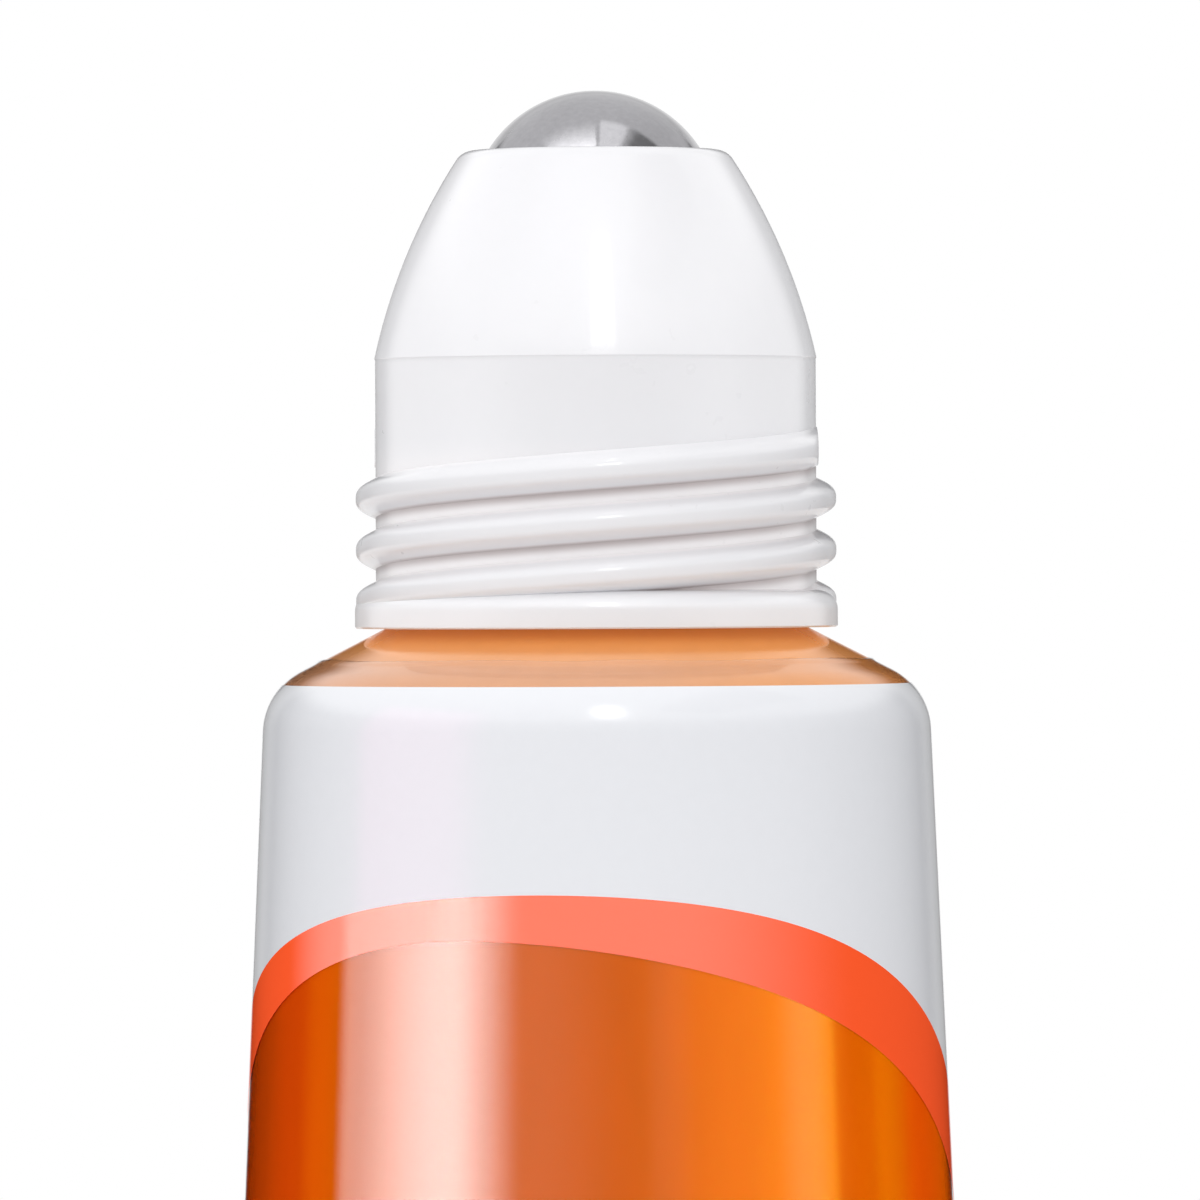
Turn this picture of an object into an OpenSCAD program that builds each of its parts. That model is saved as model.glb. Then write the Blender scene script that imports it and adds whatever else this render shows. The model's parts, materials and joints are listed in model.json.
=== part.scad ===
// Roll-on bottle for a serum. A steel ball turns in the mouth of a white head, the head snaps
// over the neck of a tapered translucent bottle, and a printed shrink sleeve dresses the bottle.
// Millimetres, +Z up. The base stands on Z = 0 and the front of the print looks along -Y.

/* [Bottle] */
// Height from the base to the corner between side and shoulder
body_h = 60; // [45:1:90]
// Diameter at that corner, before it is rounded
corner_d = 20.8; // [20:0.05:26]
// Diameter at the base, before the heel is rounded
base_d = 26.05; // [24:0.05:34]
// Rise of the shoulder from the corner to the seat of the head
shoulder_rise = 1.95; // [1:0.05:4]
// Radius of the corner between side and shoulder
corner_r = 2.2; // [1.6:0.1:2.6]
// Radius of the heel
heel_r = 2; // [1:0.1:3]
// Thickness of the side and shoulder
wall = 1.5; // [1:0.1:2]
// Thickness of the base over its hollow
base_wall = 1.6; // [1:0.1:3]
// Depth of the hollow under the base
hollow_depth = 0.8; // [0.4:0.1:1.6]
// Width of the flat ring that the bottle stands on
foot_w = 1.2; // [0.6:0.1:2]
// Thickness of the neck
neck_wall = 1.2; // [0.8:0.1:1.5]
// Width of the flat seat around the foot of the neck
ledge_w = 0.85; // [0.6:0.05:1.2]

/* [Head] */
// Diameter of the straight land that a cap goes over
land_d = 14; // [13.4:0.1:16]
// Height of the head from its seat to its rim
head_h = 15.15; // [14:0.05:18]
// Height of the land's top edge, where the nose starts
land_top = 8.55; // [8:0.05:9]
// Radius of the curve of the nose
nose_r = 19; // [12:0.1:30]
// Radius of the outer edge of the rim
rim_round = 0.65; // [0.15:0.05:0.7]
// Thickness of the lip at the rim
lip_w = 0.75; // [0.6:0.05:1]
// Thickness of the skirt over the neck
skirt_wall = 1.1; // [0.9:0.05:1.3]
// Height of the moulding's coring groove around that tube
coring_h = 2.4; // [1:0.1:3]

/* [Base flange of the head] */
// Reach of the flange beyond the land
flange_out = 0.67; // [0.4:0.01:0.9]
// Height of the flange
flange_h = 1.2; // [1:0.05:1.6]
// Height of the flange's plain rim
flange_rim_h = 0.55; // [0.4:0.05:0.9]

/* [Ball and insert] */
// Diameter of the steel ball
ball_d = 8; // [7.4:0.1:8.6]
// Height of the rim above the ball's centre
rim_over = 2.1; // [1.9:0.05:2.6]
// Running clearance around the ball
ball_gap = 0.04; // [0.02:0.01:0.08]
// Thickness of the insert's flange
insert_flange_t = 0.8; // [0.6:0.05:1.1]
// Length of the plug in the neck
plug_h = 3; // [2:0.1:4]
// Thickness of the plug
plug_wall = 0.9; // [0.6:0.05:1.1]
// Height of the ring that carries the ball, at its inner edge
cup_h = 2.43; // [1.8:0.01:3]
// Diameter of the feed hole
feed_d = 2.4; // [1.6:0.1:3]
// Number of feed slots in the ring
slots = 4; // [3:1:6]
// Width of a feed slot
slot_w = 0.8; // [0.5:0.05:1]
// Depth of a feed slot below the ring's inner edge
slot_h = 1.4; // [0.8:0.1:1.7]

/* [Sleeve and print] */
// Thickness of the film
film_t = 0.06; // [0.04:0.01:0.1]
// Thickness of a printed layer
ink_t = 0.04; // [0.03:0.01:0.06]
// Air gap under the film and under the print
skin_gap = 0.03; // [0.02:0.01:0.05]
// Distance from the corner in to the film's top edge
film_in = 1.85; // [1.7:0.05:2.4]
// Distance from the heel up to the film's lower edge
film_foot = 0.8; // [0.4:0.1:3]
// Mean depth of the white print's lower edge below the corner
white_depth = 13; // [11:0.1:16]
// Rise and fall of that edge around the bottle
white_swing = 8.05; // [5:0.05:9]
// How much flatter its top is than its flanks
white_pinch = 1.3; // [0.1:0.1:2]
// Mean width of the coral band
band_w = 3.6; // [3:0.1:6]
// How much narrower the band is at the front
band_swing = 2.3; // [1:0.1:2.6]
// Waviness of the band's width
band_wave = 0.53; // [0.2:0.01:0.6]

/* [Hidden] */
$fn = 96;

// Fits, small rounds and clearances
neck_fit = 0.05;
insert_fit = 0.1;
plug_fit = 0.03;
bead_out = 0.22;
bead_h = 0.9;
bead_flat = 0.3;
bead_drop = 1.1;
chamfer = 0.3;
inner_corner_r = 0.6;
overrun = 0.5;

// Shares: the ball's ring across its socket, the socket's tube and the coring groove's tip across
// the room they have, and the white edge's place in the turn of the bottle's corner
cup_in_share = 0.57;
cup_out_share = 0.82;
tube_share = 0.51;
groove_tip_share = 0.33;
print_top_share = 0.68;

// Angles, in degrees, and step counts
white_turn = -9.4;
band_turn = -8.5;
band_wave_turn = 22.9;
arc_steps = 10;
hollow_steps = 6;
wave_steps = 72;

// Levels and radii that more than one piece uses
seat_z = body_h + shoulder_rise;
ball_r = ball_d / 2;
socket_r = ball_r + ball_gap;
ball_z = head_h - rim_over;
mouth_r = sqrt(pow(socket_r, 2) - pow(rim_over, 2));
cup_in_r = socket_r * cup_in_share;
cup_out_r = socket_r * cup_out_share;
cup_z = ball_z - sqrt(pow(socket_r, 2) - pow(cup_in_r, 2));
step_z = cup_z - cup_h;
neck_h = step_z - insert_flange_t;
land_r = land_d / 2;
bore_r = land_r - skirt_wall;
neck_r = bore_r - neck_fit;
neck_bore_r = neck_r - neck_wall;
ledge_r = neck_r + ledge_w;
flange_r = land_r + flange_out;
bead_z = neck_h - bead_drop - bead_h;

// The bottle's two corners and the way each of its faces looks, as [radius, height]
corner = [corner_d / 2, body_h];
heel = [base_d / 2, 0];
side_lean = atan2(heel.x - corner.x, body_h);
shoulder_slope = atan2(shoulder_rise, corner.x - ledge_r);
side_out = [cos(side_lean), sin(side_lean)];
shoulder_out = [sin(shoulder_slope), cos(shoulder_slope)];
base_out = [0, -1];

function polar(radius, angle) = radius * [cos(angle), sin(angle)];

function arc(centre, radius, from, to, steps = arc_steps) =
    [for (i = [0:steps]) centre + polar(radius, from + (to - from) * i / steps)];

function reversed(points) = [for (i = [len(points) - 1:-1:0]) points[i]];

// The point that lies a given depth inside both faces of a corner
function inset(point, face_a, face_b, depth) =
    point - depth * (face_a + face_b) / (1 + face_a * face_b);

// Centre of the arc through two outline points that bulges away from the axis
function bulge_centre(low, high, radius) =
    let (chord = high - low, half = norm(chord) / 2)
    (low + high) / 2 + [-chord.y, chord.x] / norm(chord) * sqrt(radius * radius - half * half);

corner_centre = inset(corner, side_out, shoulder_out, corner_r);
heel_centre = inset(heel, side_out, base_out, heel_r);

// A point of the bottle's side at a height, moved outwards by a given distance
function side_point(z, out) =
    [corner.x + (corner.y - z) * tan(side_lean) + out / cos(side_lean), z];

// A point of the shoulder at a distance in from the corner, moved outwards by a given distance
function shoulder_point(inward, out) =
    corner + inward * [-1, tan(shoulder_slope)] + out * shoulder_out;

// Solid ring through a closed row of like outlines
module closed_sweep(rings) {
    count = len(rings);
    size = len(rings[0]);
    sides = [
        for (i = [0:count - 1], j = [0:size - 1])
            let (
                next_i = (i + 1) % count,
                next_j = (j + 1) % size,
                a = i * size + j,
                b = i * size + next_j,
                c = next_i * size + next_j,
                d = next_i * size + j
            )
            each [[a, c, b], [a, d, c]]
    ];
    polyhedron(points = [for (ring = rings) each ring], faces = sides, convexity = 2);
}

// A [radius, height] point stood up at an angle from the front, positive to the right
function stand(point, angle) = [point.x * sin(angle), -point.x * cos(angle), point.y];

// Outside of the bottle, from the middle of its base up to the top of its neck
function bottle_outside() =
    let (
        foot_in = heel_centre.x - foot_w,
        side_turn = atan2(side_out.y, side_out.x),
        shoulder_turn = atan2(shoulder_out.y, shoulder_out.x)
    )
    concat(
        [for (i = [0:hollow_steps]) let (s = i / hollow_steps)
            [foot_in * s, hollow_depth * (1 - s * s)]],
        arc(heel_centre, heel_r, -90, side_turn),
        arc(corner_centre, corner_r, side_turn, shoulder_turn),
        [
            [ledge_r, seat_z],
            [neck_r, seat_z],
            [neck_r, seat_z + bead_z],
            [neck_r + bead_out, seat_z + bead_z + bead_flat],
            [neck_r + bead_out, seat_z + bead_z + 2 * bead_flat],
            [neck_r, seat_z + bead_z + bead_h],
            [neck_r, seat_z + neck_h - chamfer],
            [neck_r - chamfer, seat_z + neck_h]
        ]
    );

// Inside of the bottle, from the top of its neck down to the middle of its floor
function bottle_inside() =
    let (
        floor_z = hollow_depth + base_wall,
        side_turn = atan2(side_out.y, side_out.x),
        shoulder_turn = atan2(shoulder_out.y, shoulder_out.x),
        top_corner = inset(corner, side_out, shoulder_out, wall),
        low_corner = side_point(floor_z, -wall),
        top_centre = inset(top_corner, side_out, shoulder_out, inner_corner_r),
        low_centre = inset(low_corner, side_out, base_out, inner_corner_r),
        throat = top_corner + (top_corner.x - neck_bore_r) * [-1, tan(shoulder_slope)]
    )
    concat(
        [[neck_bore_r, seat_z + neck_h], throat],
        arc(top_centre, inner_corner_r, shoulder_turn, side_turn),
        arc(low_centre, inner_corner_r, side_turn, -90),
        [[0, floor_z]]
    );

module bottle() {
    color("darkorange", 0.85)
        rotate_extrude()
            polygon(concat(bottle_outside(), bottle_inside()));
}

// Outside of the head, from its seat up over the flange, land and nose to the mouth
function head_outside() =
    let (
        nose_low = [land_r, land_top],
        nose_high = [mouth_r + lip_w, head_h],
        nose_centre = bulge_centre(nose_low, nose_high, nose_r),
        round_z = head_h - rim_round,
        round_x = nose_centre.x + sqrt(pow(nose_r - rim_round, 2) - pow(round_z - nose_centre.y, 2)),
        low_turn = atan2(land_top - nose_centre.y, land_r - nose_centre.x),
        high_turn = atan2(round_z - nose_centre.y, round_x - nose_centre.x)
    )
    concat(
        [[flange_r, 0]],
        [for (i = [0:arc_steps]) let (turn = 90 * i / arc_steps)
            [land_r + flange_out * cos(turn), flange_rim_h + (flange_h - flange_rim_h) * sin(turn)]],
        arc(nose_centre, nose_r, low_turn, high_turn),
        arc([round_x, round_z], rim_round, high_turn, 90)
    );

// Inside of the head, from its mouth down the ball's socket and the skirt to its seat
function head_inside() =
    let (
        tube_r = socket_r + (bore_r - socket_r) * tube_share,
        tip_r = tube_r + (bore_r - tube_r) * groove_tip_share,
        mouth_turn = asin(rim_over / socket_r),
        groove_z = step_z + coring_h
    )
    concat(
        arc([0, ball_z], socket_r, mouth_turn, 0),
        [
            [socket_r, step_z],
            [tube_r, step_z],
            [tube_r, groove_z],
            [tip_r, groove_z],
            [bore_r, step_z + chamfer],
            [bore_r, bead_z + bead_h + neck_fit],
            [bore_r + bead_out, bead_z + 2 * bead_flat + neck_fit],
            [bore_r + bead_out, bead_z + bead_flat - neck_fit],
            [bore_r, bead_z - neck_fit],
            [bore_r, chamfer],
            [bore_r + chamfer, 0]
        ]
    );

module roller_head() {
    color("white")
        translate([0, 0, seat_z])
            rotate_extrude()
                polygon(concat(head_outside(), head_inside()));
}

// Half of the insert's section, from the plug's foot round the flange to the ball's bearing ring
function insert_section() =
    let (
        plug_r = neck_bore_r - plug_fit,
        inner_turn = -acos(cup_in_share),
        outer_turn = -acos(cup_out_share)
    )
    concat(
        [
            [plug_r - plug_wall, neck_h - plug_h],
            [plug_r - chamfer, neck_h - plug_h],
            [plug_r, neck_h - plug_h + chamfer],
            [plug_r, neck_h],
            [bore_r - insert_fit, neck_h],
            [bore_r - insert_fit, step_z],
            [cup_out_r, step_z]
        ],
        arc([0, ball_z], socket_r, outer_turn, inner_turn),
        [
            [cup_in_r, step_z],
            [feed_d / 2, step_z],
            [feed_d / 2, neck_h],
            [plug_r - plug_wall, neck_h]
        ]
    );

module ball_seat_insert() {
    slot_z = cup_z - slot_h;
    color("gainsboro")
        translate([0, 0, seat_z])
            difference() {
                rotate_extrude()
                    polygon(insert_section());
                for (i = [0:slots - 1])
                    rotate([0, 0, 360 * i / slots])
                        translate([0, -slot_w / 2, slot_z])
                            cube([cup_out_r + overrun, slot_w, ball_z - slot_z]);
            }
}

module roller_ball() {
    color("silver")
        translate([0, 0, seat_z + ball_z])
            sphere(r = ball_r);
}

// Line along the bottle's side at a distance from it, from the foot of the film up over a share
// of the corner's turn
function skin_line(out, share) =
    let (
        low_z = heel_centre.y + heel_r * side_out.y + film_foot,
        side_turn = atan2(side_out.y, side_out.x),
        shoulder_turn = atan2(shoulder_out.y, shoulder_out.x)
    )
    concat(
        [side_point(low_z, out)],
        arc(corner_centre, corner_r + out, side_turn, side_turn + (shoulder_turn - side_turn) * share)
    );

// The same line carried on over the shoulder to the film's top edge
function film_line(out) = concat(skin_line(out, 1), [shoulder_point(film_in, out)]);

// Thin skin turned from its inner and its outer line
module skin(inner_line, outer_line) {
    rotate_extrude()
        polygon(concat(inner_line, reversed(outer_line)));
}

// Height of the white print's lower edge at an angle from the front
function white_edge(angle) =
    body_h - white_depth + white_swing * cos(angle - white_turn)
        - white_pinch * cos(2 * (angle - white_turn));

// Height of the coral band's lower edge, which is the band's width below the white one
function coral_edge(angle) =
    white_edge(angle) - band_w + band_swing * cos(angle - band_turn)
        - band_wave * cos(2 * (angle - band_wave_turn));

// Everything below a wavy edge, given as its heights, in a ring thick enough to cut the skins
module below_edge(heights) {
    inner_r = corner_centre.x;
    outer_r = heel.x + overrun;
    rings = [
        for (i = [0:wave_steps - 1])
            let (z = heights[i])
            [for (p = [[inner_r, 0], [inner_r, z], [outer_r, z], [outer_r, 0]])
                stand(p, 360 * i / wave_steps)]
    ];
    closed_sweep(rings);
}

module below_white() {
    below_edge([for (i = [0:wave_steps - 1]) white_edge(360 * i / wave_steps)]);
}

module below_coral() {
    below_edge([for (i = [0:wave_steps - 1]) coral_edge(360 * i / wave_steps)]);
}

module sleeve_film() {
    color("white", 0.25)
        skin(film_line(skin_gap), film_line(skin_gap + film_t));
}

// The height on the film that both printed layers share, from the film's foot up to the white edge
module printed_skin() {
    ink_near = 2 * skin_gap + film_t;
    skin(skin_line(ink_near, print_top_share), skin_line(ink_near + ink_t, print_top_share));
}

module white_print() {
    color("whitesmoke")
        difference() {
            printed_skin();
            below_white();
        }
}

module coral_print() {
    color("tomato")
        difference() {
            intersection() {
                printed_skin();
                below_white();
            }
            below_coral();
        }
}

bottle();
roller_head();
ball_seat_insert();
roller_ball();
sleeve_film();
white_print();
coral_print();
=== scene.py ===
"""Roll-on bottle: the looks of its pieces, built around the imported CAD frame.

Lengths are in metres, +Z runs up the bottle's axis and the front of the print looks along -Y.
An angle round the bottle is counted from the front, positive to the right.
"""

import json
import math

import bmesh
import bpy
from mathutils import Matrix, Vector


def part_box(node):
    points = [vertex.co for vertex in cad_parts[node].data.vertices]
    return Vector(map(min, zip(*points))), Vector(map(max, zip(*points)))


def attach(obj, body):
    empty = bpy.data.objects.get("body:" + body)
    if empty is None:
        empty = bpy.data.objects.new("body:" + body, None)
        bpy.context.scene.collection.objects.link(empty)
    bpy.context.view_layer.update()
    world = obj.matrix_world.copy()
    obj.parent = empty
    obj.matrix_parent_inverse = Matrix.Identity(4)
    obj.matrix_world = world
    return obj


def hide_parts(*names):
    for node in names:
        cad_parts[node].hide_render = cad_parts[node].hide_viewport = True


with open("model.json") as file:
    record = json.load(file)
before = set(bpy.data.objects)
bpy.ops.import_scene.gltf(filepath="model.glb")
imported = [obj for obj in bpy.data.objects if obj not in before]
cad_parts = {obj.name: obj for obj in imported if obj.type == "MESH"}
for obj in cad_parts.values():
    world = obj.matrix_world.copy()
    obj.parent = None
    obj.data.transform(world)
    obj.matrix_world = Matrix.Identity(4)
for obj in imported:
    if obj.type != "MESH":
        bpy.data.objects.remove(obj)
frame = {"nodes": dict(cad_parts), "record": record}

bl_info = {
    "name": "Roll-on bottle",
    "version": (1, 0, 0),
    "blender": (4, 5, 0),
    "location": "3D View > Sidebar > Roll-on",
    "description": "Builds a roll-on bottle with its closure thread, sleeve and steel ball",
    "category": "Add Mesh",
}

MM = 0.001
AXIS_STEPS = 288
SMOOTH_LIMIT = math.radians(32)

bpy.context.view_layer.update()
HEAD_LOW, HEAD_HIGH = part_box("roller_head")
BALL_LOW, BALL_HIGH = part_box("roller_ball")
FILM_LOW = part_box("sleeve_film")[0]
LAND = next(m for m in frame["record"]["mounts"] if m["name"] == "closure_land")
LAND_RADIUS = LAND["dims"]["r_mm"] * MM
SEAT = HEAD_LOW.z

# Snap fit between neck and head, and the small rounds and breaks of the mouldings
SNAP_OUT = 0.22 * MM
SNAP_DROP = 2.0 * MM
INSERT_FLANGE = 0.8 * MM
TUBE_SHARE = 0.51
TIP_SHARE = 0.33
EASE = 0.3 * MM
BREAK = 0.05 * MM
INNER_ROUND = 0.6 * MM
PARTING_CHAMFER = (0.006 * MM, 0.012 * MM)
RIDGE_SINK = 0.004 * MM


# Properties

def length(name, description, default):
    return bpy.props.FloatProperty(name=name, description=description, default=default,
                                   precision=5, subtype="DISTANCE", unit="LENGTH")


def angle(name, description, degrees):
    return bpy.props.FloatProperty(name=name, description=description,
                                   default=math.radians(degrees), subtype="ANGLE",
                                   unit="ROTATION")


def share(name, description, default):
    return bpy.props.FloatProperty(name=name, description=description, default=default,
                                   min=0.0, max=1.0, subtype="FACTOR")


def paint(name, description, colour):
    return bpy.props.FloatVectorProperty(name=name, description=description, default=colour,
                                         size=3, min=0.0, max=1.0, subtype="COLOR")


class RollOnBottleSizes(bpy.types.PropertyGroup):
    """Sizes of the tapered bottle."""

    body_height: length("Body height", "Base to the corner of side and shoulder", 60 * MM)
    corner_radius: length("Corner reach", "Axis to that corner before its round", 10.51 * MM)
    base_radius: length("Base reach", "Axis to the heel before its round", 13.135 * MM)
    corner_round: length("Corner round", "Radius of the shoulder's corner", 2.2 * MM)
    heel_round: length("Heel round", "Radius of the heel", 2.0 * MM)
    wall: length("Wall", "Thickness of the side and shoulder", 1.5 * MM)
    base_wall: length("Base wall", "Thickness of the base over its hollow", 1.6 * MM)
    hollow: length("Base hollow", "Depth of the hollow under the base", 0.8 * MM)
    foot: length("Foot ring", "Width of the ring it stands on", 1.2 * MM)
    seat_radius: length("Seat reach", "Outer edge of the head's seat", 6.7 * MM)
    neck_radius: length("Neck radius", "Outside of the neck", 5.85 * MM)
    neck_bore: length("Neck bore", "Inside of the neck", 4.65 * MM)
    neck_height: length("Neck height", "Neck above the seat", 6.5 * MM)
    colour: paint("Colour", "Colour of the moulded wall", (0.92, 0.1, 0.0006))
    # Pale and Throat are painted light: shoulder tones paler than the wall's own orange, for
    # the reflections and the light through the plastic there; Throat, nearer the flange, is
    # deeper where the flange shades the reflection
    painted_pale_light: paint("Pale", "Tone of the wall under the shoulder's film", (0.74, 0.39, 0.22))
    throat: paint("Throat", "Tone of the wall under the flange", (0.75, 0.335, 0.095))
    # Glow is painted light: an emission that stands in for light let through the shoulder
    glow: paint("Glow", "Light that the shoulder lets through", (0.19, 0.055, 0.014))


class RollOnHeadSizes(bpy.types.PropertyGroup):
    """Sizes of the head that holds the ball."""

    land_radius: length("Land radius", "Smooth land that a cap goes over", LAND_RADIUS)
    land_top: length("Land top", "Parting line over the seat", 8.55 * MM)
    parting: length("Parting step", "Step of the moulding at the parting line", 0.025 * MM)
    nose_round: length("Nose curve", "Radius of the nose's curve", 19.0 * MM)
    rim_round: length("Rim round", "Radius of the rim's outer edge", 0.65 * MM)
    lip: length("Lip", "Thickness of the lip at the rim", 0.75 * MM)
    skirt: length("Skirt", "Thickness of the skirt over the neck", 1.1 * MM)
    flange_radius: length("Flange radius", "Outer edge of the base flange", HEAD_HIGH.x)
    flange_rim: length("Flange rim", "Height of the flange's plain rim", 0.55 * MM)
    flange_height: length("Flange height", "Height of the flange", 1.2 * MM)
    ball_gap: length("Ball gap", "Running clearance round the ball", 0.04 * MM)
    step: length("Insert step", "Height of the insert's flange over the seat", 7.3 * MM)
    coring: length("Coring", "Height of the coring groove", 2.4 * MM)
    colour: paint("Colour", "Colour of the moulded head", (0.8, 0.797, 0.82))
    # Painted light and shade in the thread: a paler groove floor for light through the plastic,
    # and a dark line painted as shade under each ridge
    groove_painted_light: paint("Groove colour", "Tint in the thread's grooves", (0.92, 0.895, 0.905))
    ridge_painted_shade: paint("Line colour", "Tint under the thread's ridges", (0.56, 0.5, 0.5))


class RollOnThreadSizes(bpy.types.PropertyGroup):
    """Sizes of the closure thread on the head."""

    starts: bpy.props.IntProperty(name="Starts", description="Number of thread starts",
                                  default=2, min=1, max=4)
    lead: length("Lead", "Fall of a ridge in one turn", 3.27 * MM)
    run: angle("Run", "Angle that one ridge winds through", 562)
    start: angle("Start", "Where the first ridge starts", 90)
    start_height: length("Start height", "Middle of a ridge over the seat at its start",
                         5.727 * MM)
    reach: length("Reach", "Height of the ridge over the land", 0.635 * MM)
    foot_over: length("Upper flank", "Ridge's foot above its middle", 0.65 * MM)
    foot_under: length("Lower flank", "Ridge's foot below its middle", 0.6 * MM)
    root: length("Root", "Depth of the ridge's root in the land", 0.2 * MM)
    cut: length("Cut", "Flat cut of a ridge's start beyond the land", 0.03 * MM)
    fade_out: angle("Fade out", "Angle over which a ridge sinks at its end", 24)


class RollOnSleeveSizes(bpy.types.PropertyGroup):
    """Sizes of the clear sleeve and its two printed fields."""

    film: length("Film", "Thickness of the film", 0.03 * MM)
    ink: length("Ink", "Thickness of a printed layer", 0.01 * MM)
    gap: length("Gap", "Air under the film and under the print", 0.004 * MM)
    bead: length("Bead", "Bead that shrinking leaves along the film's top edge", 0.035 * MM)
    film_in: length("Film top", "Film's top edge in from the corner", 1.85 * MM)
    film_wave: length("Film wave", "Waviness of the film's top edge", 0.05 * MM)
    film_foot: length("Film foot", "Lower edge of the film over the base", FILM_LOW.z)
    print_top: share("Print top", "White edge's place in the turn of the corner", 0.68)
    white_depth: length("White depth", "White field's lower edge below the corner", 13 * MM)
    white_swing: length("White swing", "Rise and fall of that edge", 8.05 * MM)
    white_pinch: length("White pinch", "How much flatter its top is", 1.3 * MM)
    white_turn: angle("White turn", "Where that edge is highest", -9.4)
    band_width: length("Band width", "Mean width of the coral field", 3.6 * MM)
    band_swing: length("Band swing", "How much narrower it is in front", 2.3 * MM)
    band_wave: length("Band wave", "Waviness of its width", 0.53 * MM)
    band_turn: angle("Band turn", "Where the coral field is narrowest", -8.5)
    wave_turn: angle("Wave turn", "Where that waviness is narrowest", 22.9)
    white: paint("White", "Colour of the white print", (0.79, 0.8, 0.835))
    coral: paint("Coral", "Colour of the coral print", (1.0, 0.105, 0.026))


class RollOnBallSizes(bpy.types.PropertyGroup):
    """Size and finish of the ball, and the finish of the insert under it."""

    radius: length("Ball radius", "Radius of the steel ball", (BALL_HIGH.z - BALL_LOW.z) / 2)
    centre: length("Ball centre", "Height of the ball's centre", (BALL_HIGH.z + BALL_LOW.z) / 2)
    steel: paint("Steel", "Colour of the satin steel", (0.46, 0.455, 0.475))
    insert: paint("Insert", "Colour of the natural insert", (0.72, 0.72, 0.69))


class RollOnStageSettings(bpy.types.PropertyGroup):
    """Camera, floor and studio light."""

    camera_distance: length("Camera distance", "Camera in front of the axis", 381 * MM)
    camera_height: length("Camera height", "Camera over the base", 64.09 * MM)
    camera_side: length("Camera side", "Camera to the right of the axis", 0.12 * MM)
    camera_pitch: angle("Pitch", "How far the camera looks down", 0.19)
    camera_roll: angle("Roll", "Tilt of the camera", 0.25)
    floor_radius: length("Floor radius", "Radius of the floor", 400 * MM)
    floor: paint("Floor", "Colour of the floor", (0.7, 0.7, 0.7))


# Outlines, as (radius, height) points

def polar(radius, turn):
    return radius * math.cos(turn), radius * math.sin(turn)


def moved(point, step, amount=1.0):
    return point[0] + amount * step[0], point[1] + amount * step[1]


def arc(centre, radius, start, end, steps):
    return [moved(centre, polar(radius, start + (end - start) * i / steps))
            for i in range(steps + 1)]


def inset(point, face_a, face_b, depth):
    """The point that lies a depth inside both faces of a corner."""
    both = moved(face_a, face_b)
    spread = 1 + face_a[0] * face_b[0] + face_a[1] * face_b[1]
    return moved(point, both, -depth / spread)


def held(outline, hold=0.12 * MM):
    """Adds a point next to each end of a long straight, so that its shading stays straight."""
    points = []
    for point, following in zip(outline, outline[1:] + outline[:1]):
        points.append(point)
        step = (following[0] - point[0], following[1] - point[1])
        reach = math.hypot(*step)
        if reach > 5 * hold:
            points.append(moved(point, step, hold / reach))
            points.append(moved(point, step, 1 - hold / reach))
    return points


class BottleWall:
    """Faces, corners and turns of the bottle's outline."""

    def __init__(self, sizes):
        self.corner = (sizes.corner_radius, sizes.body_height)
        self.heel = (sizes.base_radius, 0.0)
        self.lean = math.atan2(self.heel[0] - self.corner[0], sizes.body_height)
        self.slope = math.atan2(SEAT - sizes.body_height, self.corner[0] - sizes.seat_radius)
        self.shoulder_turn = math.pi / 2 - self.slope
        self.side_out = polar(1, self.lean)
        self.shoulder_out = polar(1, self.shoulder_turn)
        self.base_out = (0.0, -1.0)
        self.corner_centre = inset(self.corner, self.side_out, self.shoulder_out,
                                   sizes.corner_round)
        self.heel_centre = inset(self.heel, self.side_out, self.base_out, sizes.heel_round)


def bottle_outline(sizes):
    """Closed outline of the bottle, from the middle of its base round to its floor."""
    wall = BottleWall(sizes)
    foot_in = wall.heel_centre[0] - sizes.foot
    floor = sizes.hollow + sizes.base_wall
    neck = sizes.neck_radius
    top = SEAT + sizes.neck_height
    bead = top - SNAP_DROP
    outline = [(foot_in * i / 12, sizes.hollow * (1 - (i / 12) ** 2)) for i in range(13)]
    outline += arc(wall.heel_centre, sizes.heel_round, -math.pi / 2, wall.lean, 20)
    outline += arc(wall.corner_centre, sizes.corner_round, wall.lean, wall.shoulder_turn, 24)
    outline += [(sizes.seat_radius, SEAT), (neck, SEAT), (neck, bead),
                (neck + SNAP_OUT, bead + EASE), (neck + SNAP_OUT, bead + 2 * EASE),
                (neck, bead + 3 * EASE), (neck, top - EASE), (neck - EASE, top)]
    upper = inset(wall.corner, wall.side_out, wall.shoulder_out, sizes.wall)
    reach = sizes.corner_radius + (sizes.body_height - floor) * math.tan(wall.lean)
    lower = (reach - sizes.wall / math.cos(wall.lean), floor)
    throat = upper[1] + (upper[0] - sizes.neck_bore) * math.tan(wall.slope)
    outline += [(sizes.neck_bore, top), (sizes.neck_bore, throat)]
    for point, face, start, end in (
            (upper, wall.shoulder_out, wall.shoulder_turn, wall.lean),
            (lower, wall.base_out, wall.lean, -math.pi / 2)):
        centre = inset(point, wall.side_out, face, INNER_ROUND)
        outline += arc(centre, INNER_ROUND, start, end, 8)
    return held(outline + [(0.0, floor)])


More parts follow.
